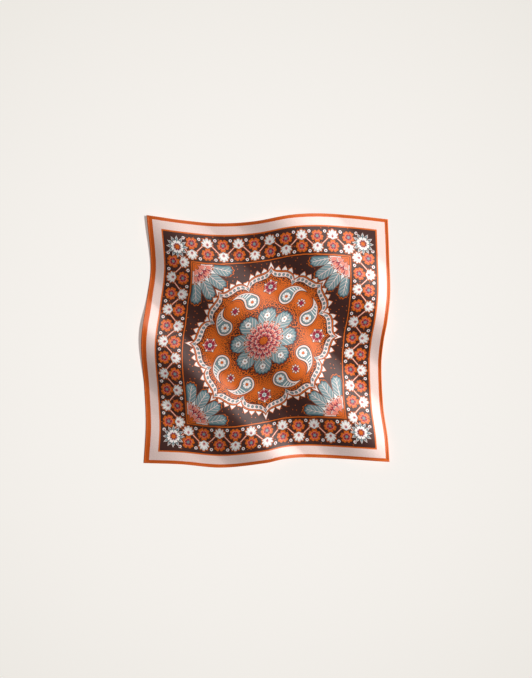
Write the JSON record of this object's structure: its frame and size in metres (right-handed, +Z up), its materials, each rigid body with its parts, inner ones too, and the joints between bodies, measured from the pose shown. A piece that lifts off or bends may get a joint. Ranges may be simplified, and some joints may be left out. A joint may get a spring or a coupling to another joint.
{
  "type": "silk square scarf",
  "caption": "Small printed silk square with hand-rolled hems, lying face up in soft diagonal waves.",
  "frame": {"origin": "on the surface the scarf lies on, under the middle of its outline", "axes": "+Z up out of the printed face, +Y towards the scarf's top edge, +X towards its right edge; the waves run from the top left to the bottom right"},
  "size_m": [0.4532, 0.463, 0.0176],
  "materials": {
    "printed_silk": "satin-faced silk twill, printed in dark brown, burnt orange, grey-teal, blush and crimson",
    "border_silk": "the same silk twill in burnt orange, rolled and slip-stitched"
  },
  "bodies": {
    "root": {"panel": "printed_silk", "hem_bottom": "border_silk", "hem_right": "border_silk", "hem_top": "border_silk", "hem_left": "border_silk"}
  },
  "joints": []
}
